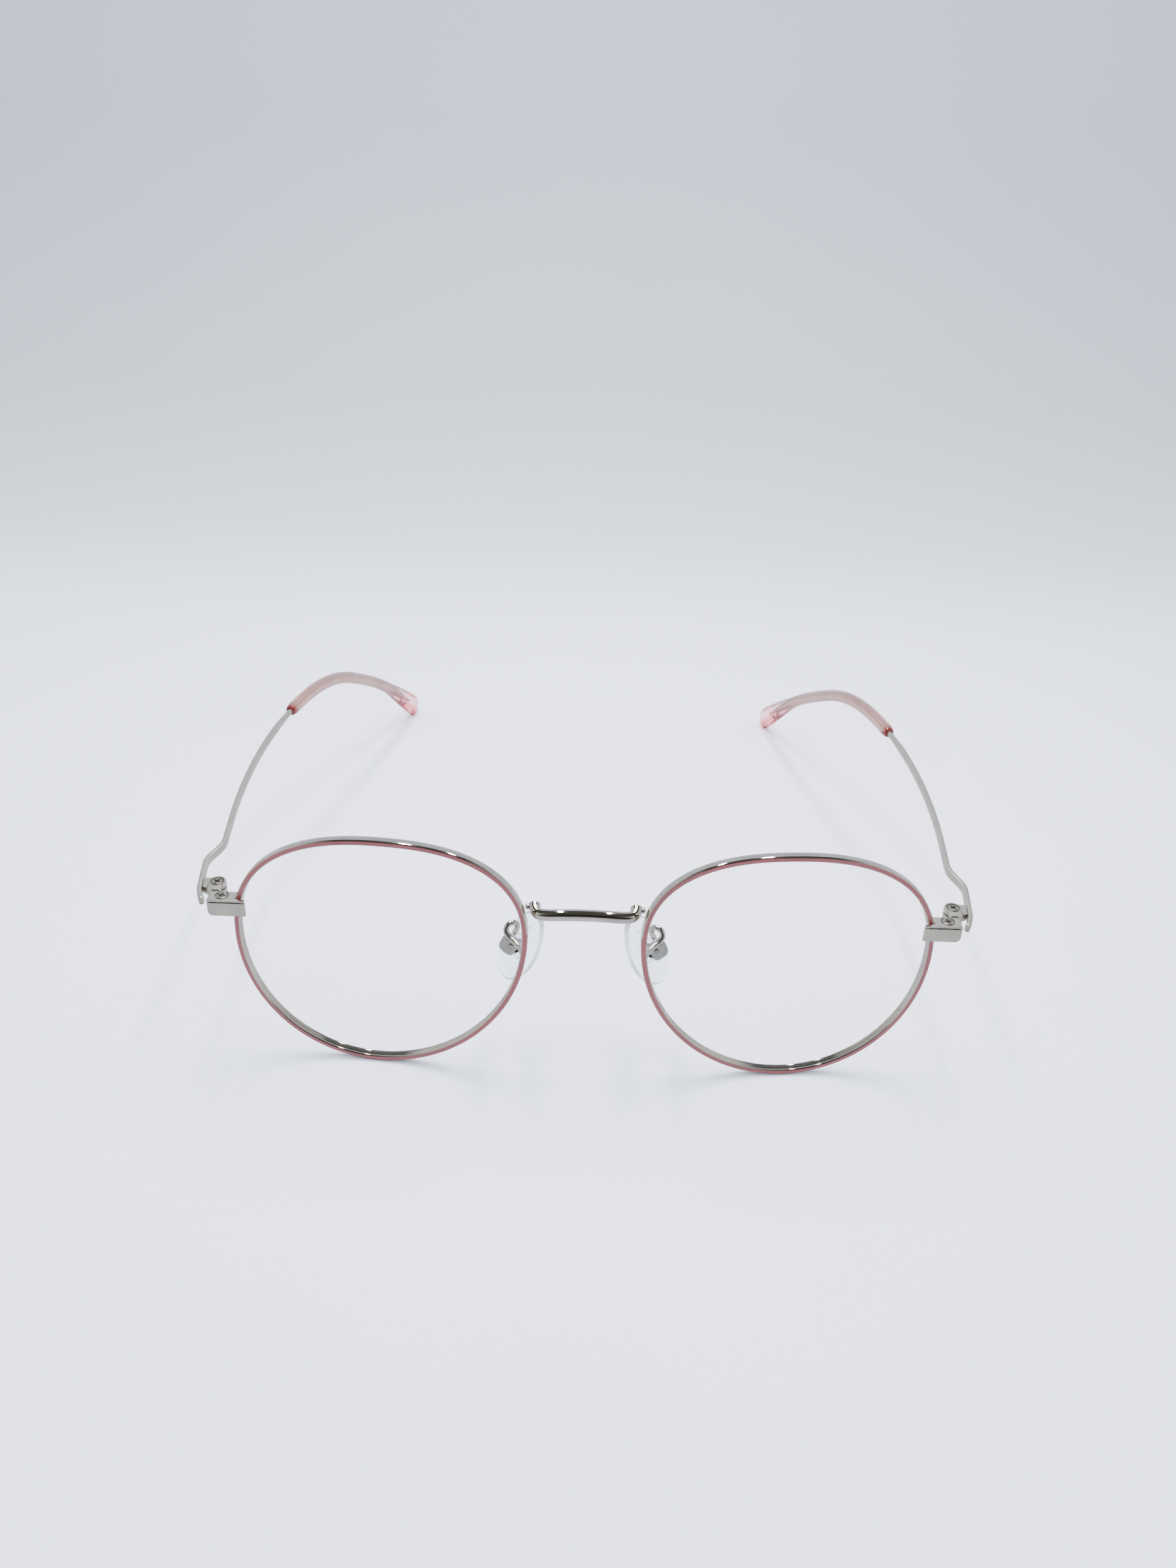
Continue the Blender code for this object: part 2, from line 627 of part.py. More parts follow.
def finish(piece, look):
    piece.data.materials.clear()
    piece.data.materials.append(MATERIALS[look])
    piece.data.shade_smooth()
    piece.data.set_sharp_from_angle(angle=math.radians(35))


def place_pair(piece, pivot=(0.0, 0.0, 0.0)):
    """Puts the piece on its pivot at +X and a mirrored copy of it at -X."""
    look = piece.name
    mesh = piece.data
    mesh.transform(Matrix.Translation(-Vector(pivot) * MM))
    finish(piece, look)
    bpy.data.objects.remove(piece, do_unlink=True)
    for side, sign in SIDES:
        axis = link(f"{look}_{side}_axis", None)
        axis.location = Vector((pivot[0] * sign, pivot[1] - ORIGIN_Y, pivot[2])) * MM
        axis.scale.x = sign
        copy = link(f"{look}_{side}", mesh)
        copy.parent = axis


def build():
    block_top, leaf_top = BLOCK_Z[1], LEAF_Z[2][1]
    hinge = (*HINGE_AXIS, sum(LEAF_Z[1]) / 2)
    place_pair(make_rim())
    place_pair(make_lens())
    place_pair(make_endpiece("upper"))
    place_pair(make_endpiece("lower"))
    place_pair(make_screw("rimlock_screw", LOCK_AXIS, block_top + 0.02, BLOCK_Z[0] + 0.6, 12))
    place_pair(make_front_leaf())
    place_pair(make_screw("hinge_screw", HINGE_AXIS, leaf_top + 0.02, LEAF_Z[0][0] + 0.1, 35))
    place_pair(make_pad_arm())
    place_pair(make_pad_box())
    place_pair(make_pad_screw())
    place_pair(make_temple_leaf(), hinge)
    place_pair(make_temple(), hinge)
    place_pair(make_tip(), hinge)
    place_pair(make_pad_insert(), PAD_BOX_CENTRE)
    place_pair(make_pad(), PAD_BOX_CENTRE)
    bridge = make_bridge()
    bridge.data.transform(Matrix.Translation((0, -ORIGIN_Y * MM, 0)))
    finish(bridge, "bridge")


build()
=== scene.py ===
# %% [markdown]
# # Round wire eyeglasses
#
# This lesson dresses a working model of a pair of eyeglasses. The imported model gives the
# frame: every wire, screw and hinge leaf is already in its true place. Here each piece gets
# its fine surface and its finish. Lengths are in metres, +Z is up, and the front faces -Y.

# %% Load the frame
import json
import math

import bmesh
import bpy
from mathutils import Matrix, Vector


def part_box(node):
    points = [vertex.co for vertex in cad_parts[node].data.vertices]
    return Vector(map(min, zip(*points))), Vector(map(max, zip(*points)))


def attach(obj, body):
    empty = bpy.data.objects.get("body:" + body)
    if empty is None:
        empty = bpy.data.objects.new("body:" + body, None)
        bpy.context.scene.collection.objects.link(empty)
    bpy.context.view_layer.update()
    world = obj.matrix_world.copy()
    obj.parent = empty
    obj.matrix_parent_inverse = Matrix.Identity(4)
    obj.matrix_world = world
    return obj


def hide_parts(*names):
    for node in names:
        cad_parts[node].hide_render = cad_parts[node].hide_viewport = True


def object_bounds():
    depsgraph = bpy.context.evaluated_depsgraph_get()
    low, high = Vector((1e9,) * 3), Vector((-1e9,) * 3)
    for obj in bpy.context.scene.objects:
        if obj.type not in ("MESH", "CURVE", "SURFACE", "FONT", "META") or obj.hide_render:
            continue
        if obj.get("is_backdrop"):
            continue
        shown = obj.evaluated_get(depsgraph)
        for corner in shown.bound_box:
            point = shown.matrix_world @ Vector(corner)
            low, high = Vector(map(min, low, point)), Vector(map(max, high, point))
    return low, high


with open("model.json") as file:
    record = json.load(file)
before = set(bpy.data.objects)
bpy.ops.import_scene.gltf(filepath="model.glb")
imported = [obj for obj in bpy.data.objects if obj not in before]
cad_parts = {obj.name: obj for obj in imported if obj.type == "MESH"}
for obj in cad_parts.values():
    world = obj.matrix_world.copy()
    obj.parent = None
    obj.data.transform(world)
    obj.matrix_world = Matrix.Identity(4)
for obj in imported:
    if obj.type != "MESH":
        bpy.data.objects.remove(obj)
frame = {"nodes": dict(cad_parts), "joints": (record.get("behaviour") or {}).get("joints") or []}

MM = 0.001
CAD_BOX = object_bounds()
JOINTS = {joint["name"]: joint for joint in frame["joints"]}
print("CAD box, mm:", [[round(value / MM, 1) for value in corner] for corner in CAD_BOX])

# %% [markdown]
# ## The camera
#
# The picture looks down at the front from arm's length, with a wide lens held close. A real
# lens is chosen by its focal length, so the camera is given one, then placed, tipped down
# and rolled a little, as a hand-held camera is.

# %% Place the camera
CAMERA_PLACE = Vector((-1.5, -237.3, 154.0)) * MM
CAMERA_DOWN = math.radians(29.55)
CAMERA_TURN = math.radians(-0.37)
CAMERA_ROLL = math.radians(2.29)
FOCAL_LENGTH = 27.02        # in millimetres, as written on a lens
SENSOR_WIDTH = 36.0

camera_data = bpy.data.cameras.new("camera")
camera_data.lens = FOCAL_LENGTH
camera_data.sensor_width = SENSOR_WIDTH
camera_data.clip_start = 0.01
camera = bpy.data.objects.new("camera", camera_data)
bpy.context.scene.collection.objects.link(camera)
camera.matrix_world = (Matrix.Translation(CAMERA_PLACE)
                       @ Matrix.Rotation(CAMERA_TURN, 4, "Z")
                       @ Matrix.Rotation(math.pi / 2 - CAMERA_DOWN, 4, "X")
                       @ Matrix.Rotation(CAMERA_ROLL, 4, "Z"))
bpy.context.scene.camera = camera
print("camera height, mm:", round(camera.location.z / MM))

# %% [markdown]
# ## Working by hand, in code
#
# Most of Blender's tools act on what is selected. The loaded model comes in selected, so
# each step first lets go of everything and takes hold of one piece. In edit mode, faces and
# edges are then chosen by where they are or which way they face.

# %% Selection helpers
def let_go():
    if bpy.context.object and bpy.context.object.mode != "OBJECT":
        bpy.ops.object.mode_set(mode="OBJECT")
    bpy.ops.object.select_all(action="DESELECT")


def take(piece):
    let_go()
    piece.select_set(True)
    bpy.context.view_layer.objects.active = piece
    return piece


def edit(piece, mode="FACE"):
    take(piece)
    bpy.ops.object.mode_set(mode="EDIT")
    bpy.ops.mesh.select_mode(type=mode)
    bpy.ops.mesh.select_all(action="SELECT")


def choose(piece, kind, test):
    """In edit mode, select only the faces, edges or vertices that pass the test."""
    bpy.ops.mesh.select_all(action="DESELECT")
    shape = bmesh.from_edit_mesh(piece.data)
    picked = [part for part in getattr(shape, kind) if test(part)]
    for part in picked:
        part.select_set(True)
    bmesh.update_edit_mesh(piece.data)
    return len(picked)


def use(piece, kind, **settings):
    """Add a modifier and apply it."""
    take(piece)
    step = piece.modifiers.new(kind.lower(), kind)
    for name, value in settings.items():
        setattr(step, name, value)
    bpy.ops.object.modifier_apply(modifier=step.name)


def subdivided(piece, levels=2, swell=0.0, crease_over=None):
    """Subdivide and apply. Corners sharper than crease_over stay put; swell gives back lost girth."""
    if crease_over is not None:
        edit(piece, "EDGE")
        sharp = math.radians(crease_over)
        choose(piece, "edges", lambda edge: edge.is_manifold
               and abs(edge.calc_face_angle_signed(0.0)) > sharp)
        bpy.ops.transform.edge_crease(value=1.0)
        let_go()
    use(piece, "SUBSURF", levels=levels, render_levels=levels)
    if swell:
        edit(piece)
        bpy.ops.transform.shrink_fatten(value=swell)
        let_go()
    return piece


def smooth(piece, degrees=35.0):
    take(piece)
    bpy.ops.object.shade_smooth_by_angle(angle=math.radians(degrees))
    return piece


print("hand tools ready")

# %% [markdown]
# ## Tracing a piece of the frame
#
# A loaded node is a cloud of loose triangles. To refine one, a copy is merged at its
# shared corners and its triangles are paired into four-sided faces. Subdivision then turns
# straight facets into the smooth bends of drawn wire, and the copy stays exactly in place.

# %% Trace, round and mirror
def new_piece(name, mesh):
    piece = bpy.data.objects.new(name, mesh)
    bpy.context.scene.collection.objects.link(piece)
    return piece


def traced(node, name, paired=True):
    """A new piece that starts as a merged copy of a CAD node."""
    piece = new_piece(name, frame["nodes"][node].data.copy())
    piece.data.materials.clear()
    edit(piece)
    bpy.ops.mesh.customdata_custom_splitnormals_clear()
    bpy.ops.mesh.remove_doubles(threshold=1e-6)
    if paired:
        bpy.ops.mesh.tris_convert_to_quads(face_threshold=math.radians(20),
                                           shape_threshold=math.radians(80))
    else:
        bpy.ops.mesh.dissolve_limited(angle_limit=math.radians(0.5))
    let_go()
    return piece


def eased(piece, width, segments=3, degrees=28.0):
    """Round the outward corners of a machined piece, as tumbling and polishing do."""
    edit(piece, "EDGE")
    choose(piece, "edges", lambda edge: edge.is_manifold
           and edge.calc_face_angle_signed(0.0) > math.radians(degrees))
    bpy.ops.mesh.bevel(offset=width, segments=segments, profile=0.6, clamp_overlap=True)
    let_go()
    return smooth(piece)


def settled(piece):
    """Keep a piece's place in its mesh, with its faces pointing outwards."""
    take(piece)
    bpy.ops.object.transform_apply(location=True, rotation=True, scale=True)
    edit(piece)
    bpy.ops.mesh.remove_doubles(threshold=1e-7)
    bpy.ops.mesh.normals_make_consistent(inside=False)
    let_go()
    return piece


def mirrored(piece, name):
    """The left-hand twin of a right-hand piece, with a mesh of its own."""
    twin = new_piece(name, piece.data.copy())
    twin.scale.x = -1
    take(twin)
    bpy.ops.object.transform_apply(location=True, rotation=True, scale=True)
    edit(twin)
    bpy.ops.mesh.normals_make_consistent(inside=False)
    let_go()
    return twin


def dress(piece, finishes):
    """Give a piece its finishes: one, or one for each of its material slots."""
    for place, finish in enumerate(finishes):
        if place < len(piece.data.materials):
            piece.data.materials[place] = finish
        else:
            piece.data.materials.append(finish)


def fit_pair(right, node, body, finishes):
    """Dress a finished right-hand piece and its twin, and let them ride and replace."""
    left = mirrored(right, right.name.replace("_right", "_left"))
    for side, piece in (("right", right), ("left", left)):
        dress(piece, finishes)
        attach(piece, body if body == "front" else f"{side}_{body}")
        if node:
            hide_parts(f"{node}_{side}")
    print(f"{right.name}: {len(right.data.polygons)} faces, and its twin")


print("tracing tools ready")

# %% [markdown]
# ## Shared effects
#
# A finish is a small tree of nodes. The same few kinds of node come back in every tree, so
# short helpers add them, set their named sockets and join them up.

# %% Node helpers
def link(tree, source, target):
    tree.links.new(source, target)


def add_node(tree, kind, operation=None, **values):
    """Add a shader node, with its operation and the values of its named sockets."""
    node = tree.nodes.new(f"ShaderNode{kind}")
    if operation:
        node.operation = operation
    for socket, value in values.items():
        node.inputs[socket.replace("_", " ")].default_value = value
    return node


def mapped(tree, value, start, end, low=0.0, high=1.0, soft=False):
    """Turn a value that runs from start to end into one that runs from low to high."""
    ramp = add_node(tree, "MapRange", From_Min=start, From_Max=end, To_Min=low, To_Max=high)
    if soft:
        ramp.interpolation_type = "SMOOTHSTEP"
    link(tree, value, ramp.inputs["Value"])
    return ramp.outputs["Result"]


def combined(tree, operation, first, second):
    """Two values brought together by one Math node."""
    node = add_node(tree, "Math", operation)
    link(tree, first, node.inputs[0])
    link(tree, second, node.inputs[1])
    return node.outputs[0]


def colour_mix(tree, factor):
    """A mix of colour A, where the factor is 0, with colour B, where it is 1."""
    mix = add_node(tree, "Mix")
    mix.data_type = "RGBA"
    link(tree, factor, mix.inputs["Factor"])
    return mix


print("node helpers ready")

# %% [markdown]
# Two effects return in most finishes. Plated and moulded surfaces are never evenly glossy:
# handling leaves faint cloudy patches. They also carry a very fine grain. Both are made once,
# as a node group with named inputs, and each material sets its own amounts.

# %% Build the handled-surface group
def add_socket(group, name, in_out, kind, value=None):
    socket = group.interface.new_socket(name=name, in_out=in_out, socket_type=kind)
    if value is not None:
        socket.default_value = value


PATCH_SIZE = 180.0          # noise scales: the higher, the finer
GRAIN_SIZE = 5200.0
handled = bpy.data.node_groups.new("handled_surface", "ShaderNodeTree")
add_socket(handled, "Place", "INPUT", "NodeSocketVector")
add_socket(handled, "Roughness", "INPUT", "NodeSocketFloat", 0.2)
add_socket(handled, "Cloudiness", "INPUT", "NodeSocketFloat", 0.06)
add_socket(handled, "Patch size", "INPUT", "NodeSocketFloat", PATCH_SIZE)
add_socket(handled, "Grain size", "INPUT", "NodeSocketFloat", GRAIN_SIZE)
add_socket(handled, "Clean colour", "INPUT", "NodeSocketColor")
add_socket(handled, "Dull colour", "INPUT", "NodeSocketColor")
add_socket(handled, "Roughness", "OUTPUT", "NodeSocketFloat")
add_socket(handled, "Colour", "OUTPUT", "NodeSocketColor")
add_socket(handled, "Grain", "OUTPUT", "NodeSocketFloat")
print("group sockets:", len(handled.interface.items_tree))

# %% [markdown]
# Inside the group, one noise gives the patches and a finer one gives the grain. The patches
# raise or lower the roughness about its middle, and lead the colour from clean to dull.

# %% Wire the group
inside = handled.nodes.new("NodeGroupInput").outputs
outside = handled.nodes.new("NodeGroupOutput").inputs
patches = add_node(handled, "TexNoise", Detail=3.0)
grain = add_node(handled, "TexNoise", Detail=2.0)
link(handled, inside["Place"], patches.inputs["Vector"])
link(handled, inside["Patch size"], patches.inputs["Scale"])
link(handled, inside["Place"], grain.inputs["Vector"])
link(handled, inside["Grain size"], grain.inputs["Scale"])

NOISE_MIDDLE = 0.5
centred = add_node(handled, "Math", "SUBTRACT")
centred.inputs[1].default_value = NOISE_MIDDLE
link(handled, patches.outputs["Fac"], centred.inputs[0])
uneven = add_node(handled, "Math", "MULTIPLY_ADD")
link(handled, centred.outputs[0], uneven.inputs[0])
link(handled, inside["Cloudiness"], uneven.inputs[1])
link(handled, inside["Roughness"], uneven.inputs[2])

tint = colour_mix(handled, mapped(handled, patches.outputs["Fac"], start=0.35, end=0.75))
link(handled, inside["Clean colour"], tint.inputs["A"])
link(handled, inside["Dull colour"], tint.inputs["B"])
link(handled, uneven.outputs[0], outside["Roughness"])
link(handled, tint.outputs["Result"], outside["Colour"])
link(handled, grain.outputs["Fac"], outside["Grain"])
print("group handled_surface:", len(handled.nodes), "nodes")

# %% [markdown]
# ## Finishes
#
# The wire is plated silver. The bridge and the rims are polished like a mirror, while the
# end pieces and temples are satin. The front of each rim carries a band of rose enamel.
# Each finish starts from the Principled shader, with the shared group in front of it.

# %% A finish with the shared group
def finish(name, clean, dull, roughness, cloudiness, grain_height,
           patch=PATCH_SIZE, grain_size=GRAIN_SIZE, **sockets):
    """A material whose cloudy patches run from clean to dull; other names set the shader's sockets."""
    made = bpy.data.materials.new(name)
    made.use_nodes = True
    tree = made.node_tree
    shader = tree.nodes["Principled BSDF"]
    place = add_node(tree, "TexCoord")
    surface = add_node(tree, "Group")
    surface.node_tree = handled
    surface.inputs["Roughness"].default_value = roughness
    surface.inputs["Cloudiness"].default_value = cloudiness
    surface.inputs["Patch size"].default_value = patch
    surface.inputs["Grain size"].default_value = grain_size
    surface.inputs["Clean colour"].default_value = (*clean, 1.0)
    surface.inputs["Dull colour"].default_value = (*dull, 1.0)
    bump = add_node(tree, "Bump", Strength=1.0, Distance=grain_height)
    link(tree, place.outputs["Object"], surface.inputs["Place"])
    link(tree, surface.outputs["Roughness"], shader.inputs["Roughness"])
    link(tree, surface.outputs["Colour"], shader.inputs["Base Color"])
    link(tree, surface.outputs["Grain"], bump.inputs["Height"])
    link(tree, bump.outputs["Normal"], shader.inputs["Normal"])
    for socket, value in sockets.items():
        shader.inputs[socket.replace("_", " ")].default_value = value
    return made


print("finish recipe ready")

# %% [markdown]
# Five metals differ in how they were worked: buffed, satin, turned, tumbled and soldered.
# Buffing leaves almost no grain, and solder stays lumpy and dull. The enamel is a baked
# colour under a thin gloss, so it has a coat over a duller base.

# %% Metals and enamel
polished_silver = finish("polished_silver", (0.56, 0.52, 0.445), (0.45, 0.41, 0.35),
                         roughness=0.055, cloudiness=0.04, grain_height=0.15e-6, Metallic=1.0)
satin_silver = finish("satin_silver", (0.50, 0.465, 0.39), (0.41, 0.38, 0.315),
                      roughness=0.30, cloudiness=0.10, grain_height=1.5e-6, Metallic=1.0)
screw_steel = finish("screw_steel", (0.38, 0.35, 0.28), (0.20, 0.18, 0.14),
                     roughness=0.24, cloudiness=0.14, grain_height=2.0e-6, patch=900.0, Metallic=1.0)
tumbled_silver = finish("tumbled_silver", (0.40, 0.39, 0.355), (0.30, 0.29, 0.26),
                        roughness=0.09, cloudiness=0.08, grain_height=1.0e-6, patch=700.0, Metallic=1.0)
solder_silver = finish("solder_silver", (0.56, 0.55, 0.51), (0.32, 0.31, 0.29),
                       roughness=0.22, cloudiness=0.16, grain_height=12e-6,
                       patch=1400.0, grain_size=1800.0, Metallic=1.0)
rose_enamel = finish("rose_enamel", (0.215, 0.050, 0.054), (0.18, 0.042, 0.046),
                     roughness=0.30, cloudiness=0.08, grain_height=1.0e-6,
                     Coat_Weight=0.35, Coat_Roughness=0.08)
print("metals and enamel ready")

# %% [markdown]
# The plastics let light through. The tips are pale pink acetate over the temple's wire, so
# the grey core shows through them. The pads are clear silicone round a harder core. All
# bend light, and get their colour from the light that passes.

# %% Plastics
tip_acetate = finish("tip_acetate", (0.98, 0.60, 0.58), (0.96, 0.54, 0.53),
                     roughness=0.05, cloudiness=0.03, grain_height=0.5e-6,
                     Transmission_Weight=0.95, IOR=1.47)
clear_silicone = finish("clear_silicone", (0.98, 0.99, 0.99), (0.95, 0.97, 0.97),
                        roughness=0.04, cloudiness=0.03, grain_height=0.6e-6,
                        Transmission_Weight=0.93, IOR=1.43)
insert_plastic = finish("insert_plastic", (0.95, 0.97, 0.97), (0.90, 0.92, 0.92),
                        roughness=0.14, cloudiness=0.06, grain_height=2e-6,
                        Transmission_Weight=0.9, IOR=1.49)
print("plastics ready")

# %% [markdown]
# The lenses carry a coating that hides almost all reflection. They are mostly see-through,
# and only their slanted edges catch the light. A Layer Weight node tells how slanted the
# surface lies, and sets how much of the coating shows.

# %% Lens coating
lens_coating = finish("lens_coating", (0.46, 0.48, 0.50), (0.42, 0.44, 0.46),
                      roughness=0.03, cloudiness=0.02, grain_height=0.0, IOR=1.5)
lens_tree = lens_coating.node_tree
slant = add_node(lens_tree, "LayerWeight", Blend=0.25)
cover = mapped(lens_tree, slant.outputs["Facing"], start=0.0, end=1.0, low=0.004, high=0.10)
link(lens_tree, cover, lens_tree.nodes["Principled BSDF"].inputs["Alpha"])
print("lens coating ready")

# %% [markdown]
# ## Rims
#
# A rim is a drawn wire with a groove rolled into its inner side for the lens, and enamel on
# its front. The traced ring keeps that section. The faces to be coloured are found by the
# way they point and take a second material, so that the enamel ends exactly at a corner.

# %% Shape the rim
RIM_WRAP = 0.084            # how far each rim turns back at its outer side, in radians
ENAMEL_TOP = 8 * MM         # over the rim's middle; higher up, only the flat front is coloured
rim_front = Vector((math.sin(RIM_WRAP), -math.cos(RIM_WRAP), 0.0))

rim = traced("rim_right", "rim_wire_right")
rim.data.materials.append(polished_silver)
rim.data.materials.append(rose_enamel)
rim_middle = sum(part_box("rim_right"), Vector()) / 2


def is_enamelled(face):
    """The flat front of the rim and, below its top, the chamfer round its outside."""
    frontal = face.normal.dot(rim_front)
    from_middle = face.calc_center_median() - rim_middle
    low_outside = face.normal.dot(from_middle) > 0 and from_middle.z < ENAMEL_TOP
    return frontal > 0.97 or (frontal > 0.6 and low_outside)


edit(rim)
bands = choose(rim, "faces", is_enamelled)
rim.active_material_index = 1
bpy.ops.object.material_slot_assign()
let_go()
subdivided(rim, crease_over=22.0)
smooth(rim, degrees=50)
fit_pair(rim, "rim", "front", (polished_silver, rose_enamel))
print("enamelled faces before subdivision:", bands)

# %% [markdown]
# ## Lenses
#
# A lens is a thin dome with a ridge round its edge that sits in the groove. The traced disc
# has one flat facet in the middle of each side. Poking it puts a point at its centre, set
# forward by the depth of the dome there, and subdivision makes the rest round.

# %% Shape the lens
LENS_CROWN = 0.23 * MM      # how far the middle stands out from the flat facet
lens = traced("lens_right", "lens_disc_right")
edit(lens)
bpy.ops.mesh.dissolve_limited(angle_limit=math.radians(0.05))
for facing in (1, -1):
    choose(lens, "faces", lambda face: len(face.verts) > 20
           and face.normal.dot(rim_front) * facing > 0.5)
    bpy.ops.mesh.poke(offset=LENS_CROWN * facing)
let_go()
subdivided(lens)
smooth(lens, degrees=30)
fit_pair(lens, "lens", "front", (lens_coating,))

# %% [markdown]
# ## Bridge
#
# The bridge is one bent bar whose ends turn back and up behind the rims. Its two end faces
# are inset first, so that subdivision keeps them flat, like a cut bar that was buffed.

# %% Shape the bridge
bridge = traced("bridge", "bridge_bar")
edit(bridge)
bpy.ops.mesh.dissolve_limited(angle_limit=math.radians(0.05))
cut_ends = choose(bridge, "faces", lambda face: len(face.verts) > 8)
bpy.ops.mesh.inset(thickness=0.22 * MM)
let_go()
subdivided(bridge, swell=0.05 * MM)
smooth(bridge, degrees=40)
dress(bridge, (polished_silver,))
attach(bridge, "front")
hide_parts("bridge")
print("bridge ends:", cut_ends)

# %% [markdown]
# A small bead of solder joins each end of the bridge to its rim. Molten solder pulls itself
# round and then freezes a little uneven, so a ball is stretched to size, its points are
# shaken by a hair, and a light smoothing takes the edges off.

# %% Solder beads
def solder_bead(name, place, size, turn=0.0):
    """A lump of solder: a rounded ball, pulled to size and made a little uneven."""
    let_go()
    bpy.ops.mesh.primitive_ico_sphere_add(subdivisions=4, radius=0.5, location=place)
    bead = bpy.context.object
    bead.name = bead.data.name = name
    bead.scale = size
    bead.rotation_euler = (0, 0, turn)
    settled(bead)
    edit(bead, "VERT")
    bpy.ops.transform.vertex_random(offset=0.02 * MM, uniform=0.5, seed=3)
    bpy.ops.mesh.vertices_smooth(factor=0.5, repeat=2)
    let_go()
    return smooth(bead)


bead_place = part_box("bridge")[1] + Vector((0.10, -0.9, -1.25)) * MM
bridge_bead = solder_bead("bridge_solder_right", bead_place, size=Vector((1.1, 1.2, 1.0)) * MM, turn=0.3)
fit_pair(bridge_bead, None, "front", (solder_silver,))

# %% [markdown]
# ## End pieces
#
# Each end piece is a pair of small machined blocks that close the split rim. The lower one
# has the face, the upper one is a thin plate over it. They are boxes with crisp but broken
# edges, so the traced blocks only need their outward corners eased.

# %% Shape the closing blocks
for which in ("upper", "lower"):
    block = traced(f"endpiece_{which}_right", f"closing_block_{which}_right", paired=False)
    eased(block, width=0.09 * MM)
    fit_pair(block, f"endpiece_{which}", "front", (satin_silver,))

# %% [markdown]
# ## Hinges
#
# Three knuckles on one screw make the hinge: two on the front and one on the temple between
# them. The barrels are turned, so their rims get a fine chamfer.

# %% Shape the hinge leaves
front_leaf = traced("hinge_front_leaf_right", "hinge_knuckles_right", paired=False)
eased(front_leaf, width=0.07 * MM)
fit_pair(front_leaf, "hinge_front_leaf", "front", (satin_silver,))

temple_leaf = traced("hinge_temple_leaf_right", "hinge_tongue_right", paired=False)
eased(temple_leaf, width=0.06 * MM)
fit_pair(temple_leaf, "hinge_temple_leaf", "temple", (satin_silver,))

# %% [markdown]
# A thin line of braze fills the joint between the front leaf and the closing blocks. It is a
# bar between the two, cut into a fine mesh and shaken a little, then smoothed, as filler
# metal that ran into a gap.

# %% Braze behind the closing blocks
leaf_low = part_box("hinge_front_leaf_right")[0]
block_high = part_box("endpiece_upper_right")[1]
lower_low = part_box("endpiece_lower_right")[0]
hinge_axis = Vector(JOINTS["right_temple_hinge"]["pos_m"])
braze_low = Vector((hinge_axis.x, block_high.y, lower_low.z)) + Vector((-0.95, -0.05, 0.25)) * MM
braze_high = Vector((block_high.x, leaf_low.y, block_high.z)) + Vector((-0.1, 0.05, -0.12)) * MM
let_go()
bpy.ops.mesh.primitive_cube_add(size=1.0, location=(braze_low + braze_high) / 2)
braze = bpy.context.object
braze.name = braze.data.name = "hinge_braze_right"
braze.scale = braze_high - braze_low
settled(braze)
edit(braze)
bpy.ops.mesh.subdivide(number_cuts=6)
bpy.ops.transform.vertex_random(offset=0.03 * MM, uniform=0.4, seed=5)
let_go()
subdivided(braze, levels=1)
smooth(braze, degrees=60)
fit_pair(braze, None, "front", (solder_silver,))


# %% [markdown]
# ## Screws
#
# A screw this small is a turned pan head with a cross recess, and its shank is hidden. The
# head starts as a cylinder. Its upper edge is bevelled, a thinner shank is drawn down from an
# inset in its underside, and two thin bars are cut away to leave the cross.

# %% Turn a screw
HEAD_HEIGHT = 0.4 * MM
RECESS = Vector((1.30, 0.30, 0.5)) * MM         # length, width and height of one bar of the cross


def cross_screw(node, name, turn):
    """A screw in the place of a CAD node, with its cross turned by an angle about its axis."""
    low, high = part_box(node)
    middle = (low + high) / 2
    radius = (high.x - low.x) / 2
    let_go()
    bpy.ops.mesh.primitive_cylinder_add(vertices=48, radius=radius, depth=HEAD_HEIGHT,
                                        location=(middle.x, middle.y, high.z - HEAD_HEIGHT / 2))
    screw = bpy.context.object
    screw.name = screw.data.name = name
    settled(screw)
    edit(screw)
    choose(screw, "faces", lambda face: face.normal.z > 0.9)
    bpy.ops.mesh.bevel(offset=0.10 * MM, segments=3, profile=0.5)
    choose(screw, "faces", lambda face: face.normal.z < -0.9)
    bpy.ops.mesh.inset(thickness=radius * 0.45)
    shank = low.z - (high.z - HEAD_HEIGHT)
    bpy.ops.mesh.extrude_region_move(TRANSFORM_OT_translate={"value": (0, 0, shank)})
    let_go()
    for angle in (turn, turn + math.pi / 2):
        bpy.ops.mesh.primitive_cube_add(size=1.0, location=(middle.x, middle.y, high.z))
        bar = bpy.context.object
        bar.scale = RECESS
        bar.rotation_euler.z = angle
        settled(bar)
        use(screw, "BOOLEAN", operation="DIFFERENCE", object=bar, solver="EXACT")
        bpy.data.objects.remove(bar)
    return smooth(screw, degrees=30)


for node, turn in (("rimlock_screw", 0.2), ("hinge_screw", 0.6)):
    screw = cross_screw(f"{node}_right", f"{node}_head_right", turn)
    fit_pair(screw, node, "front", (screw_steel,))

# %% [markdown]
# ## Temples
#
# The temple is a flat strip with a joggle behind the hinge. Further back it becomes a round
# wire inside the tip. The traced strip has chamfered corners, and subdivision rounds them as
# a rolling mill leaves them. Its cut front end gets the small dimple of a centre punch.

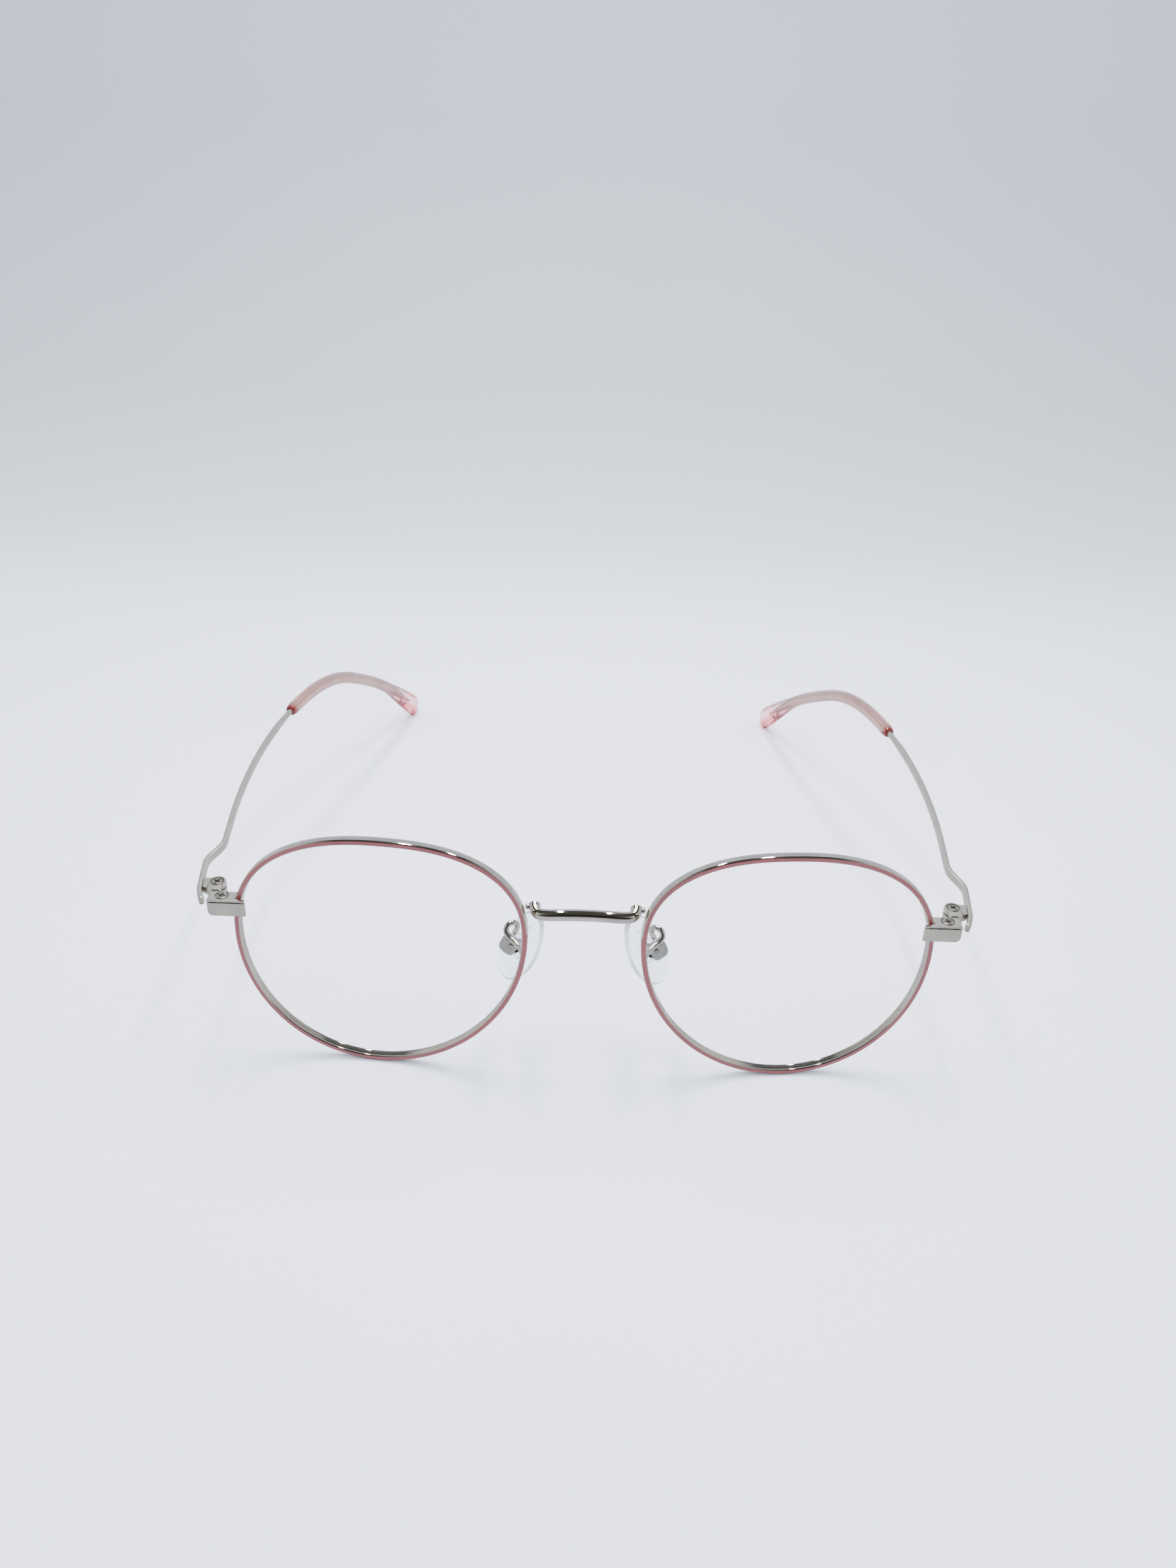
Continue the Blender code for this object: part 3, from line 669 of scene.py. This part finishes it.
# %% Shape the temple
END_BAND = 0.6 * MM         # the cut end lies this close to the strip's foremost point
temple = traced("temple_right", "temple_strip_right")
front_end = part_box("temple_right")[0].y
edit(temple)
end_faces = choose(temple, "faces", lambda face: face.normal.y < -0.75
                   and face.calc_center_median().y < front_end + END_BAND)
bpy.ops.mesh.inset(thickness=0.2 * MM)
bpy.ops.transform.translate(value=(0.10 * MM, 0.25 * MM, 0))
let_go()
print("faces of the cut end:", end_faces)
subdivided(temple, swell=0.045 * MM)
smooth(temple, degrees=50)
fit_pair(temple, "temple", "temple", (satin_silver,))

# %% [markdown]
# ## Temple tips
#
# The tip is a moulded sleeve with an open mouth, pushed over the wire, which flares into a
# flat paddle behind the ear. Where the paddle is deepest, light passes through the most
# acetate and comes out red. That is along the paddle's lower edge and at the mouth, so those
# places are found first: each is a height or a length that runs from pale to deep.

# %% Find the deep parts of the tip
tip_low, tip_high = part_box("temple_tip_right")
PADDLE_UP = Vector((0.0, 0.603, 0.798))         # from the paddle's lower edge to its upper one
PADDLE_MIDDLE = PADDLE_UP.dot(Vector((0.0, 49.0, 20.3))) * MM
tip_tree = tip_acetate.node_tree
tip_place = tip_tree.nodes["Texture Coordinate"].outputs["Object"]
height = add_node(tip_tree, "VectorMath", "DOT_PRODUCT")
height.inputs[1].default_value = PADDLE_UP
link(tip_tree, tip_place, height.inputs[0])
length = add_node(tip_tree, "SeparateXYZ")
link(tip_tree, tip_place, length.inputs[0])

low_edge = mapped(tip_tree, height.outputs["Value"], soft=True,
                  start=PADDLE_MIDDLE + 0.4 * MM, end=PADDLE_MIDDLE - 1.3 * MM)
in_paddle = mapped(tip_tree, length.outputs["Y"], soft=True,
                   start=tip_high.y - 26 * MM, end=tip_high.y - 12 * MM)
at_mouth = mapped(tip_tree, length.outputs["Y"], soft=True,
                  start=tip_low.y + 1.6 * MM, end=tip_low.y + 0.5 * MM)
paddle_edge = combined(tip_tree, "MULTIPLY", low_edge, in_paddle)
deep = combined(tip_tree, "MAXIMUM", paddle_edge, at_mouth)
print("tip length, mm:", round((tip_high.y - tip_low.y) / MM, 1))

# %% [markdown]
# The deep places then take a redder pink. It is mixed in before the colour reaches the
# shader, so that the cloudy patches stay the same everywhere else.

# %% Redden the deep parts
redder = colour_mix(tip_tree, deep)
redder.inputs["B"].default_value = (0.93, 0.13, 0.14, 1.0)
link(tip_tree, tip_tree.nodes["Group"].outputs["Colour"], redder.inputs["A"])
link(tip_tree, redder.outputs["Result"], tip_tree.nodes["Principled BSDF"].inputs["Base Color"])
print("acetate nodes:", len(tip_tree.nodes))

# %% [markdown]
# The sleeve has to be hollow, because it is see-through: the bore shows as a bright line
# round the core. In the frame the bore is wide. Moulded acetate grips its wire, so here the
# bore is closed in on the core, and closed up altogether past the end of the core.

# %% Shape the tip
BORE_CLEAR = 1.5 * MM       # above the floor, so the flat under the paddle isn't taken
BORE_STOP = 4 * MM          # the solid end of the paddle
tip = traced("temple_tip_right", "tip_sleeve_right")
core_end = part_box("temple_right")[1].y


def in_bore(face, start, most):
    """Bore faces are narrower than the outside's, and lie clear of the floor cut."""
    middle = face.calc_center_median()
    return (start < middle.y < tip_high.y - BORE_STOP and middle.z > BORE_CLEAR
            and min(edge.calc_length() for edge in face.edges) < most)


edit(tip)
bore = choose(tip, "faces", lambda face: in_bore(face, tip_low.y + 1.2 * MM, 0.55 * MM))
bpy.ops.transform.shrink_fatten(value=0.36 * MM)
choose(tip, "faces", lambda face: in_bore(face, core_end + 0.3 * MM, 0.40 * MM))
bpy.ops.transform.shrink_fatten(value=0.45 * MM)
let_go()
print("bore faces closed on the core:", bore)
subdivided(tip, swell=0.04 * MM)
smooth(tip, degrees=50)
fit_pair(tip, "temple_tip", "temple", (tip_acetate,))

# %% [markdown]
# ## Nose pads
#
# A looped wire carries a small faceted box, and the pad rocks in it. The arm is traced, as
# the bridge was, and a bead of solder holds its foot to the rim.

# %% Shape the pad arm
arm = traced("pad_arm_right", "pad_wire_right")
subdivided(arm, swell=0.11 * MM)
smooth(arm, degrees=50)
fit_pair(arm, "pad_arm", "front", (polished_silver,))

FOOT_HEIGHT = 26.35 * MM
arm_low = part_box("pad_arm_right")[0]
foot_place = Vector((arm_low.x + 0.75 * MM, arm_low.y + 0.55 * MM, FOOT_HEIGHT))
arm_bead = solder_bead("pad_solder_right", foot_place, size=Vector((1.3, 1.3, 1.3)) * MM)
fit_pair(arm_bead, None, "front", (solder_silver,))

# %% [markdown]
# The pad is shaped afresh, flat at the origin, and then put in place. Its place needs three
# directions: across the pad, which is the axis it rocks on, up along its length, and outward
# through its thickness. They and its size are measured from the frame's plain pad.

# %% The pad's own directions
rock = JOINTS["right_pad_rock"]
pivot = Vector(rock["pos_m"])
across = Vector(rock["axis"]).normalized()
pad_points = [vertex.co.copy() for vertex in frame["nodes"]["nose_pad_right"].data.vertices]
pad_centre = sum(pad_points, Vector()) / len(pad_points)


def farthest(points):
    return max(points, key=lambda point: (point - pad_centre).length)


top = farthest([point for point in pad_points if point.z > pad_centre.z])
bottom = farthest([point for point in pad_points if point.z < pad_centre.z])
up = (top - bottom).normalized()
up = (up - across * up.dot(across)).normalized()
outward = across.cross(up)


def pad_matrix(centre):
    """What moves a shape made flat at the origin to a centre, turned as the pad is."""
    return Matrix.Translation(centre) @ Matrix((across, up, outward)).transposed().to_4x4()


def extent(direction):
    """The pad's lowest and highest reach along a direction."""
    reach = [(point - pad_centre).dot(direction) for point in pad_points]
    return min(reach), max(reach)


pad_reach = [extent(direction) for direction in (across, up, outward)]
half_wide, half_long, half_thick = [(high - low) / 2 for low, high in pad_reach]
pad_middle = pad_centre.copy()
for direction, (low, high) in zip((across, up, outward), pad_reach):
    pad_middle += direction * (low + high) / 2
print("half the pad, mm:", [round(half / MM, 2) for half in (half_wide, half_long, half_thick)])

# %% [markdown]
# The pad is an egg-shaped drop of silicone. It starts as a filled circle, pulled to an egg.
# Each step down its side is one extrusion that is moved along and scaled, so the outline
# swells and then draws in. A last inset, pushed out a little, rounds the side on the nose.

# %% Shape the pad
let_go()
bpy.ops.mesh.primitive_circle_add(vertices=48, radius=1.0, fill_type="NGON")
pad = bpy.context.object
pad.name = pad.data.name = "silicone_pad_right"
for vertex in pad.data.vertices:
    vertex.co.x *= half_wide * 0.95 * (1 - 0.04 * vertex.co.y)
    vertex.co.y *= half_long
edit(pad)
bpy.ops.transform.resize(value=(0.86, 0.90, 1))
bpy.ops.transform.translate(value=(0, 0, half_thick))

# Each step is how much the outline grows, and how far it moves as a share of half the thickness.
SIDE_STEPS = ((1.13, -0.34), (1.03, -0.42), (0.985, -0.46), (0.90, -0.42), (0.74, -0.24))
for growth, rise in SIDE_STEPS:
    bpy.ops.mesh.extrude_region_move(TRANSFORM_OT_translate={"value": (0, 0, rise * half_thick)})
    bpy.ops.transform.resize(value=(growth, growth, 1))
bpy.ops.mesh.inset(thickness=half_wide * 0.25)
bpy.ops.transform.translate(value=(0, 0, -0.10 * half_thick))
let_go()
print("pad outline faces:", len(pad.data.polygons))

# %% [markdown]
# The side that faces the pad box carries rings left by the mould, and they show through the
# silicone. Each ring is an inset that keeps its level, then a narrow one that is pushed in
# or pulled out. Subdivision rounds the steps.

# %% Press the pad's rings and set it in place
edit(pad)
bpy.ops.mesh.normals_make_consistent(inside=False)
choose(pad, "faces", lambda face: face.normal.z > 0.9 and len(face.verts) > 8)
RING_STEPS = ((0.10, 0.0), (0.05, -0.60), (0.11, 0.0), (0.05, 0.60), (0.16, 0.0), (0.05, -0.70))
for width, push in RING_STEPS:
    bpy.ops.mesh.inset(thickness=width * half_wide)
    bpy.ops.transform.translate(value=(0, 0, push * half_thick))
let_go()
subdivided(pad)
smooth(pad, degrees=60)
pad.matrix_world = pad_matrix(pad_middle)
settled(pad)
fit_pair(pad, "nose_pad", "pad", (clear_silicone,))

# %% [markdown]
# Inside the soft pad sits a hard insert, whose round lug reaches into the pad box. Its shape
# is plain and mostly seen through silicone, so it is traced and its corners are eased.

# %% Shape the pad's insert
insert = traced("pad_insert_right", "pad_core_right", paired=False)
eased(insert, width=0.06 * MM, segments=2)
fit_pair(insert, "pad_insert", "pad", (insert_plastic,))

# %% [markdown]
# The pad box is pressed from sheet and tumbled, so it looks like a faceted ball. A cube is
# chamfered once widely, which leaves the facets, and again finely for the polished edges.
# Then it is slotted and pocketed for the pad's round lug, and drilled for the cross screw.

# %% Shape the pad box
BOX_SIZE = 3.5 * MM
FACET = 1.05 * MM
POLISHED_EDGE = 0.07 * MM
let_go()
bpy.ops.mesh.primitive_cube_add(size=BOX_SIZE)
pad_box = bpy.context.object
pad_box.name = pad_box.data.name = "pad_box_shell_right"
pad_box.matrix_world = pad_matrix(pivot)
settled(pad_box)
edit(pad_box, "EDGE")
bpy.ops.mesh.bevel(offset=FACET, segments=2, profile=0.5)
bpy.ops.mesh.select_all(action="SELECT")
bpy.ops.mesh.bevel(offset=POLISHED_EDGE, segments=2, profile=0.5)
let_go()
print("pad box facets:", len(pad_box.data.polygons))

# %% [markdown]
# The cutters stand in the pad's directions too, with the pivot as their middle. The pocket is
# a little larger than the lug, so that the pad can rock without touching.

# %% Cut the pad box
PIN_RADIUS = 0.80 * MM
POCKET_RADIUS = 1.45 * MM
POCKET_WIDTH = 1.2 * MM


def slot_box(size, shift):
    """Cut a slot of a size, shifted from the pivot."""
    bpy.ops.mesh.primitive_cube_add(size=1.0)
    cutter = bpy.context.object
    cutter.matrix_world = pad_matrix(pivot) @ Matrix.Translation(shift) @ Matrix.Diagonal((*size, 1.0))
    settled(cutter)
    use(pad_box, "BOOLEAN", operation="DIFFERENCE", object=cutter, solver="EXACT")
    bpy.data.objects.remove(cutter)


def drill_box(radius, length):
    """Cut a round hole, or a round pocket, along the axis that the pad rocks on."""
    bpy.ops.mesh.primitive_cylinder_add(vertices=32, radius=radius, depth=length)
    drill = bpy.context.object
    drill.matrix_world = pad_matrix(pivot) @ Matrix.Rotation(math.pi / 2, 4, "Y")
    settled(drill)
    use(pad_box, "BOOLEAN", operation="DIFFERENCE", object=drill, solver="EXACT")
    bpy.data.objects.remove(drill)


slot_box(size=Vector((1.5, 5.2, 3.4)) * MM, shift=Vector((0, -0.8, -1.6)) * MM)
drill_box(PIN_RADIUS, length=6 * MM)
drill_box(POCKET_RADIUS, length=POCKET_WIDTH)
smooth(pad_box, degrees=20)
fit_pair(pad_box, "pad_box", "front", (tumbled_silver,))

# %% [markdown]
# A small screw crosses the box and the lug, and the pad rocks on it. Only its two ends show,
# so the traced pin with eased corners is enough.

# %% Shape the pad screw
pad_screw = traced("pad_screw_right", "pad_pin_right", paired=False)
eased(pad_screw, width=0.08 * MM)
fit_pair(pad_screw, "pad_screw", "front", (screw_steel,))

# %% [markdown]
# ## The table and the light
#
# The glasses stand in a small light tent: a pale sweep of paper that curves up behind them,
# two strips of lamps overhead, one above each temple, and an open front, which polished
# metal shows as a dark band. The sweep is a plane whose far edge is extruded up a curve.

# %% Lay the paper sweep
SWEEP_START = 0.235         # where the paper starts to rise, in metres behind the middle
SWEEP_RADIUS = 0.16
SWEEP_RISE = math.radians(88.0)
SWEEP_STEPS = 16
FLOOR_WIDTH = 3.0
FLOOR_FRONT = 2.0
let_go()
bpy.ops.mesh.primitive_plane_add(size=1.0)
floor = bpy.context.object
floor.name = floor.data.name = "paper_sweep"
floor.scale = (FLOOR_WIDTH, FLOOR_FRONT + SWEEP_START, 1.0)
floor.location = (0, (SWEEP_START - FLOOR_FRONT) / 2, -0.2 * MM)
settled(floor)
edit(floor, "EDGE")
choose(floor, "edges", lambda edge: all(vertex.co.y > SWEEP_START - 0.01 for vertex in edge.verts))
for step in range(SWEEP_STEPS):
    near = SWEEP_RISE * step / SWEEP_STEPS
    far = SWEEP_RISE * (step + 1) / SWEEP_STEPS
    back = SWEEP_RADIUS * (math.sin(far) - math.sin(near))
    rise = SWEEP_RADIUS * (math.cos(near) - math.cos(far))
    bpy.ops.mesh.extrude_region_move(TRANSFORM_OT_translate={"value": (0, back, rise)})
bpy.ops.mesh.extrude_region_move(TRANSFORM_OT_translate={"value": (0, 0.02, 0.5)})
let_go()
smooth(floor, degrees=60)
floor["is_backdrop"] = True
print("sweep faces:", len(floor.data.polygons))

# %% [markdown]
# The paper is matt and faintly blue. Its colour is made darker towards its curve, a painted
# shade for the lamps' light that falls off there.
# Bright paper all round would turn polished wire into plain white, so reflected rays find the
# near paper darker: a painted shade that only the metal's reflections show, as if a grey card
# lay just out of sight. Light paths tell them apart: rays that only pass through clear plastic
# still see the paper as it is.

# %% Finish the paper
def reflected_only(tree):
    """1 for rays sent on by a glossy surface, 0 for rays seen directly or through plastic."""
    ray = add_node(tree, "LightPath")
    only = add_node(tree, "Math", "SUBTRACT")
    only.use_clamp = True
    link(tree, ray.outputs["Is Glossy Ray"], only.inputs[0])
    link(tree, ray.outputs["Is Transmission Ray"], only.inputs[1])
    return only.outputs[0]


SHADE_START, SHADE_END = 0.14, 0.34               # metres behind the middle
paper = finish("pale_paper", (0.69, 0.735, 0.845), (0.68, 0.725, 0.835),
               roughness=0.7, cloudiness=0.03, grain_height=3e-6, patch=25.0)
paper_tree = paper.node_tree
distance = add_node(paper_tree, "SeparateXYZ")
link(paper_tree, paper_tree.nodes["Texture Coordinate"].outputs["Object"], distance.inputs[0])
# Painted shade: the paper's colour darkens towards the curve, where less lamp light falls.
painted_shade = mapped(paper_tree, distance.outputs["Y"], SHADE_START, SHADE_END, low=1.0, high=0.66)
# Painted shade in reflections: metal mirrors the near paper darker than it is.
reflected_shade = mapped(paper_tree, distance.outputs["Y"], SHADE_START, SHADE_END, low=0.44, high=1.1)
in_metal = add_node(paper_tree, "MapRange", To_Min=1.0)
link(paper_tree, reflected_only(paper_tree), in_metal.inputs["Value"])
link(paper_tree, reflected_shade, in_metal.inputs["To Max"])
shaded = add_node(paper_tree, "VectorMath", "SCALE")
link(paper_tree, paper_tree.nodes["Group"].outputs["Colour"], shaded.inputs[0])
link(paper_tree, combined(paper_tree, "MULTIPLY", painted_shade, in_metal.outputs["Result"]),
     shaded.inputs["Scale"])
link(paper_tree, shaded.outputs[0], paper_tree.nodes["Principled BSDF"].inputs["Base Color"])
floor.data.materials.append(paper)
print("paper nodes:", len(paper_tree.nodes))

# %% [markdown]
# Two narrow lamps draw the two bright dashes on every wire, and the soft shadows beside the
# temples. A strip gives a longer and thinner highlight than a round lamp of the same power.

# %% Hang the lamps
LAMP_SIDE = 0.064           # over each temple
LAMP_BACK = 0.035
LAMP_HEIGHT = 0.34


def strip_lamp(name, place, width, length, power):
    lamp_data = bpy.data.lights.new(name, "AREA")
    lamp_data.shape = "RECTANGLE"
    lamp_data.size = width
    lamp_data.size_y = length
    lamp_data.energy = power
    lamp = bpy.data.objects.new(name, lamp_data)
    lamp.location = place
    bpy.context.scene.collection.objects.link(lamp)
    return lamp


for name, side in (("strip_left", -1), ("strip_right", 1)):
    lamp = strip_lamp(name, (side * LAMP_SIDE, LAMP_BACK, LAMP_HEIGHT), width=0.020, length=0.20, power=1.25)
    print(name, "power, W:", lamp.data.energy)

# %% [markdown]
# The walls of the tent glow evenly. Its open front is dark from the table upwards, and the
# ceiling round the lamps is dark too, but only for reflections. Both are found from the
# direction that a ray leaves in.

# %% Shape the tent's openings
world = bpy.data.worlds.new("light_tent")
bpy.context.scene.world = world
world.use_nodes = True
sky = world.node_tree
heading = add_node(sky, "SeparateXYZ")
link(sky, add_node(sky, "TexCoord").outputs["Generated"], heading.inputs[0])
mirrored_ray = reflected_only(sky)
forward = mapped(sky, heading.outputs["Y"], start=-0.45, end=-0.68)
above_table = mapped(sky, heading.outputs["Z"], start=-0.02, end=0.12)
overhead = mapped(sky, heading.outputs["Z"], start=0.62, end=0.74, high=0.94)
open_front = combined(sky, "MULTIPLY", forward, above_table)
dark_ceiling = combined(sky, "MULTIPLY", overhead, mirrored_ray)
walls = colour_mix(sky, combined(sky, "MAXIMUM", open_front, dark_ceiling))
walls.inputs["A"].default_value = (0.95, 0.97, 1.0, 1.0)
walls.inputs["B"].default_value = (0.035, 0.035, 0.03, 1.0)
print("tent nodes:", len(sky.nodes))

# %% [markdown]
# The tent lights the table strongly but shows in the metal more dimly, so that the lamps'
# dashes stay the brightest thing there. Looked at directly, it is a plain grey-blue.

# %% Light the tent
seen = add_node(sky, "LightPath")
shown = colour_mix(sky, seen.outputs["Is Camera Ray"])
shown.inputs["B"].default_value = (0.40, 0.42, 0.46, 1.0)
link(sky, walls.outputs["Result"], shown.inputs["A"])
strength = mapped(sky, mirrored_ray, start=0.0, end=1.0, low=3.9, high=1.15)
link(sky, shown.outputs["Result"], sky.nodes["Background"].inputs["Color"])
link(sky, strength, sky.nodes["Background"].inputs["Strength"])
print("tent ready")

# %% [markdown]
# ## Closing up
#
# The refined pieces must stay the size of the frame they dress, so both boxes are written
# down side by side.

# %% Print the two boxes and finish
let_go()
boxes = {"cad": [list(corner) for corner in CAD_BOX], "visual": [list(corner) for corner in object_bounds()]}
for name, box in boxes.items():
    print(name, "size, mm:", [round((high - low) / MM, 2) for low, high in zip(*box)])
